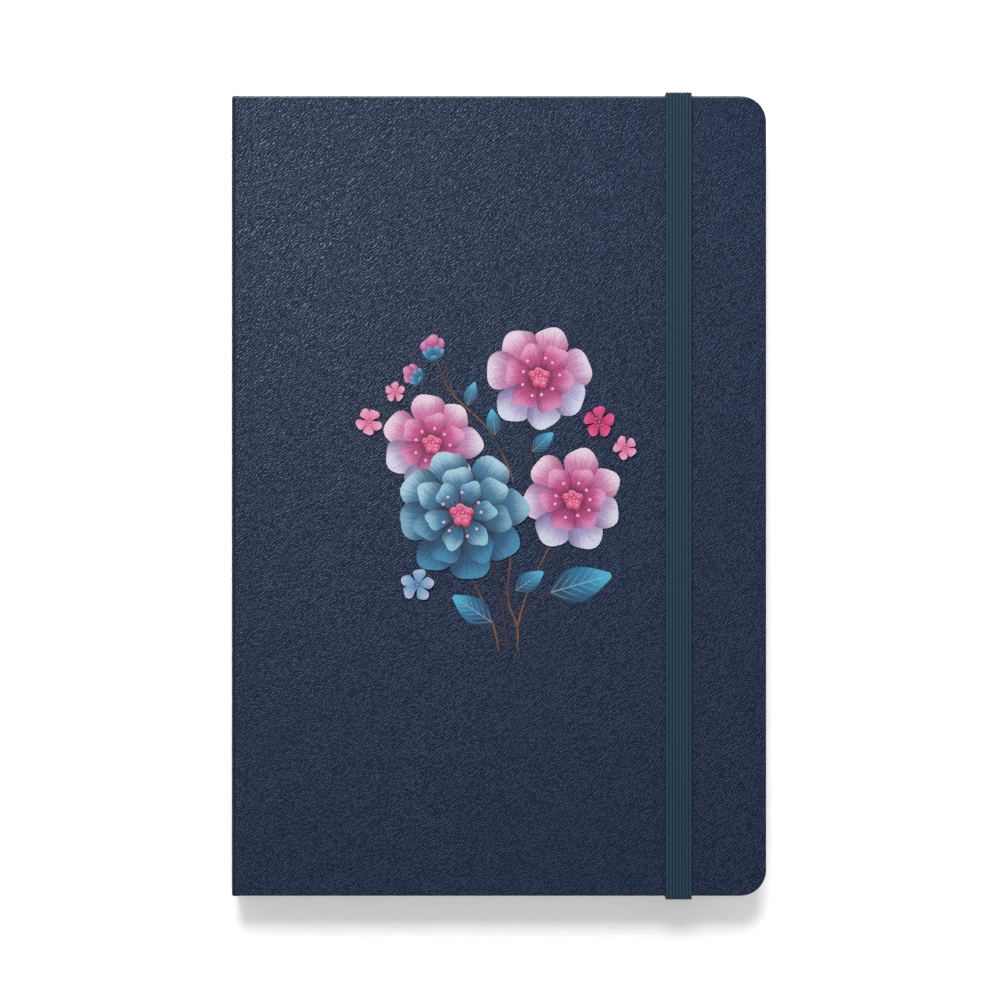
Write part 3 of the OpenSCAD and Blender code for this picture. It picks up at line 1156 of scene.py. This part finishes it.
def makeStem(points, width, colours):
    # a smooth stem through points in millimetres, thinner towards its end
    bpy.ops.curve.primitive_bezier_curve_add()
    curve = bpy.context.object
    curve.data.dimensions = "3D"
    spline = curve.data.splines[0]
    spline.bezier_points.add(len(points) - 2)
    for i, (knot, (x, y)) in enumerate(zip(spline.bezier_points, points)):
        knot.co = (x * mm, y * mm, 0)
        knot.handle_left_type = knot.handle_right_type = "AUTO"
        knot.radius = 1 - 0.35 * i / (len(points) - 1)
    curve.data.resolution_u = 12
    curve.data.bevel_depth = width * mm / 2
    curve.data.bevel_resolution = 1
    curve.data.use_fill_caps = True
    bpy.ops.object.convert(target="MESH")
    stem = bpy.context.object
    flatten = ink["thickness"] / (width * mm)
    stem.data.transform(Matrix.Translation((0, 0, nextLayer())) @ Matrix.Diagonal((1, 1, flatten, 1)))
    storeChart(stem, lambda point: (0.5, 0.45 + 0.2 * math.sin(point.y / (3 * mm))))
    storeInk(stem, petalInks[colours])
    dress(stem, petalInk)
    return stem


stems = [makeStem(*row) for row in [
    # the stems of the bouquet, then its twigs
    ([(0, -42), (-1.5, -35), (-5, -27), (-9, -19)], 0.75, "stem"),
    ([(2, -42), (1.5, -34), (0, -26), (-2, -18)], 0.7, "darkStem"),
    ([(5, -42), (5, -36), (2.5, -28), (3, -18), (4, -8)], 0.7, "stem"),
    ([(5, -35), (7, -28), (10, -21), (14, -13)], 0.65, "stem"),
    ([(5, -35.5), (8, -30), (12, -27), (15, -26)], 0.5, "darkStem"),
    ([(2, -30), (3, -26.5), (5, -25)], 0.45, "darkStem"),
    ([(4, 4), (1, 11), (-3, 18), (-9, 24), (-13, 28), (-17, 37)], 0.6, "stem"),
    ([(-12.5, 27.5), (-16, 29.5), (-20, 31)], 0.45, "darkStem"),
    ([(-12, 27), (-13.5, 31), (-14.5, 36)], 0.4, "stem"),
    ([(9, 8), (8.5, 14), (9.5, 21)], 0.6, "darkStem"),
    ([(-7, 22), (-8.5, 25)], 0.35, "darkStem"),
    ([(-1, 14.5), (-1, 17)], 0.35, "darkStem"),
]]

for x, y, turn, length, width in [
        # the leaves: foot, the way they point, length and width
        (14, -26, 16, 17, 9.4), (-2, -34, 146, 12.5, 7), (4.5, -25.5, 34, 9, 5.2),
        (9, 12, 42, 7.5, 4.4), (-1, 16.5, 98, 7, 4), (-8.5, 24.5, 72, 6.5, 3.6)]:
    placeInk(leafShape, x, y, turn, length, width, petalInks["leaf"], material=leafInk)

makeBud(-17.5, 37, 6, 96)
makeBud(-21, 31.5, 5, 150)
makeFlower("rose", 11, 32, 14.5, 0)
makeFlower("rose", -18, 14, 13.5, 30)
makeFlower("rose", 20, -1, 14, 12)
makeFlower("blue", -10, -5, 18, 0)
for x, y, size, turn, colours in [
        (-28, 28, 2.7, 20, "smallRose"), (-35, 20, 3.6, 50, "smallRose"), (27, 20, 4.2, 15, "smallDeep"),
        (34, 13, 3.2, 40, "smallRose"), (-22, -24, 4.4, 10, "smallBlue")]:
    makeSmallFlower(x, y, size, turn, colours)

for shape in (petalShape, leafShape, dotShape):
    bpy.data.objects.remove(shape)
deselectAll()
for piece in inkPieces:
    piece.select_set(True)
bpy.context.view_layer.objects.active = inkPieces[0]
bpy.ops.object.join()
film = bpy.context.object
change(film, "SOLIDIFY", thickness=ink["thickness"], offset=-1)
for stem in stems:
    stem.select_set(True)
bpy.ops.object.join()
film.name = "floralPrint"
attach(film, "front_cover")
print("print made,", len(inkPieces), "ink shapes")


# looks of the frame's own nodes

for name in ("front_pastedown", "back_pastedown"):
    dress(nodes[name], endPaper)
for name in ("front_board", "back_board", "spine_board"):
    dress(nodes[name], greyBoard)
for name in ("headband", "tailband"):
    dress(nodes[name], bandSilk)
dress(nodes["mull"], gauze)
dress(nodes["kraft_liner"], kraftPaper)
dress(nodes["sewing_threads"], linen)


# room

room = {
    "floorSize": 6.0,
    "floorLevel": -0.02 * mm,
    # degrees from +Y towards -X, degrees up, distance, power and size; the second lamp only glosses
    "lamps": {"keyLamp": (4, 53, 1.3, 16, 0.5), "sheenLamp": (36, 60, 0.6, 6.6, 0.26)},
    "horizon": 1.07,      # bright walls
    "zenith": 0.1,        # and a darker ceiling
    "floorGlow": 0.16,    # the table is lit a little from within
}
bpy.ops.mesh.primitive_plane_add(size=room["floorSize"], location=(0, 0, room["floorLevel"]))
floor = bpy.context.object
floor.name = "floor"
finishPlace()
floorMaterial, tree, place = newMaterial("paleTable")
speckle = noise(tree, place, 300.0, 2.0)
floorColour = mixColour(tree, spread(tree, speckle, 0.3, 0.7), (0.93, 0.93, 0.93, 1),
                        (0.96, 0.96, 0.96, 1))
finishMaterial(tree, floorColour, 0.95, speckle, 0.01 * mm, 0.1,
               **{"Emission Color": (1, 1, 1, 1), "Emission Strength": room["floorGlow"]})
dress(floor, floorMaterial)

world = bpy.data.worlds.new("softRoom")
bpy.context.scene.world = world
world.use_nodes = True
sky = world.node_tree
skyUp = split(sky, addNode(sky, "TexCoord").outputs["Generated"])[2]
squared = calc(sky, "MULTIPLY", skyUp, skyUp)
strength = calc(sky, "MULTIPLY_ADD", squared, room["zenith"] - room["horizon"], room["horizon"])
backdrop = sky.nodes["Background"]
backdrop.inputs[0].default_value = (1, 1, 1, 1)
sky.links.new(strength, backdrop.inputs[1])


def addLamp(name, azimuth, elevation, distance, power, size):
    turn, lift = math.radians(azimuth), math.radians(elevation)
    away = Vector((-math.sin(turn) * math.cos(lift), math.cos(turn) * math.cos(lift), math.sin(lift)))
    bpy.ops.object.light_add(type="AREA", location=away * distance)
    lamp = bpy.context.object
    lamp.name = name
    lamp.data.energy = power
    lamp.data.size = size
    lamp.rotation_mode = "QUATERNION"
    lamp.rotation_quaternion = away.to_track_quat("Z", "Y")
    return lamp


keyLamp, sheenLamp = [addLamp(name, *look) for name, look in room["lamps"].items()]
keyLamp.visible_glossy = False
sheenLamp.visible_diffuse = False

camera = {
    "lens": 100,
    "span": 269.7 * mm,    # what the frame's width takes in at the cover's height
    "east": 0.3 * mm,
    "north": -1.1 * mm,
    "sensor": 36,
}
height = camera["span"] * camera["lens"] / camera["sensor"]
bpy.ops.object.camera_add(location=(camera["east"], camera["north"], topZ + height), rotation=(0, 0, 0))
view = bpy.context.object
view.name = "topCamera"
view.data.lens = camera["lens"]
view.data.sensor_width = camera["sensor"]
view.data.clip_start = 10 * mm
bpy.context.scene.camera = view
print("room made")
